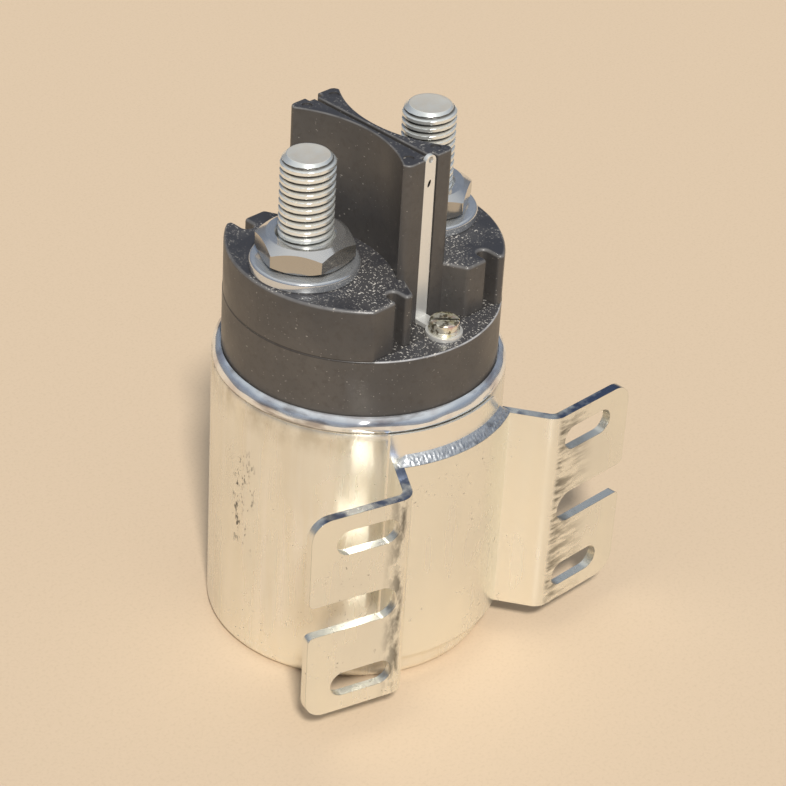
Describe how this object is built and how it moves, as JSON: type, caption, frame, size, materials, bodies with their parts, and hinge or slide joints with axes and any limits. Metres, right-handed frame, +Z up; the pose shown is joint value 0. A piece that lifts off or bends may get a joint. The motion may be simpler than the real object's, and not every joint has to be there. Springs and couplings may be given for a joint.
{
  "type": "dc power relay",
  "caption": "Round can contactor with two threaded power studs, a moulded cap with a tall divider and a slotted side bracket; a plunger closes an inner contact bridge.",
  "frame": {"origin": "centre of the can's flat bottom", "axes": "+Z up along the can's axis, X through the two studs, -Y towards the bracket and the blade terminal"},
  "size_m": [0.0777, 0.0615, 0.1038],
  "materials": {
    "can": "bright nickel-like plating",
    "bracket": "bright nickel-like plating with handling wear",
    "bracket_pad": "bright nickel-like plating",
    "bracket_weld": "rough plated weld metal",
    "cap": "dark charcoal moulding, satin",
    "cap_gasket": "matte",
    "yoke_plate": "machined",
    "bobbin": "natural nylon",
    "coil_winding": "enamelled copper wire",
    "coil_tape": "polyester tape",
    "guide_tube": "drawn",
    "pole_core": "turned",
    "plunger_cushion": "matte",
    "coil_leads": "red insulation",
    "lead_grommets": "natural nylon",
    "terminal_inserts": "turned",
    "terminal_screws": "yellow passivated zinc on steel",
    "terminal_blade": "pale matte tin",
    "terminal_washer": "tinned",
    "stud_left": "bright zinc",
    "stud_right": "bright zinc",
    "stud_nuts": "bright zinc",
    "stud_washers": "bright zinc",
    "plunger": "turned",
    "push_rod": "ground",
    "rod_retainer": "pressed",
    "contact_bridge": "copper",
    "bridge_bush": "phenolic",
    "bridge_washer": "phenolic",
    "return_spring": "spring wire",
    "contact_spring": "spring wire"
  },
  "bodies": {
    "housing": {"can": "can", "bracket": "bracket", "bracket_pad": "bracket_pad", "bracket_weld": "bracket_weld", "cap": "cap", "cap_gasket": "cap_gasket", "yoke_plate": "yoke_plate", "bobbin": "bobbin", "coil_winding": "coil_winding", "coil_tape": "coil_tape", "guide_tube": "guide_tube", "pole_core": "pole_core", "plunger_cushion": "plunger_cushion", "coil_leads": "coil_leads", "lead_grommets": "lead_grommets", "terminal_inserts": "terminal_inserts", "terminal_screws": "terminal_screws", "terminal_blade": "terminal_blade", "terminal_washer": "terminal_washer", "stud_left": "stud_left", "stud_right": "stud_right", "stud_nuts": "stud_nuts", "stud_washers": "stud_washers", "return_spring": "return_spring"},
    "plunger": {"plunger": "plunger", "push_rod": "push_rod", "rod_retainer": "rod_retainer", "contact_spring": "contact_spring"},
    "bridge": {"contact_bridge": "contact_bridge", "bridge_bush": "bridge_bush", "bridge_washer": "bridge_washer"}
  },
  "joints": [
    {"name": "plunger_slide", "type": "slide", "parent": "housing", "child": "plunger", "axis": [0, 0, 1], "range_m": [0, 0.004], "stiffness_N_per_m": 1200, "springref_m": -0.003, "deforming": ["return_spring"]},
    {"name": "bridge_slide", "type": "slide", "parent": "plunger", "child": "bridge", "axis": [0, 0, -1], "range_m": [0, 0.001], "stiffness_N_per_m": 1500, "springref_m": -0.0005, "deforming": ["contact_spring"]}
  ],
  "couplings": [
    {"joint": "bridge_slide", "follows": "plunger_slide", "ratio": 0.25}
  ]
}
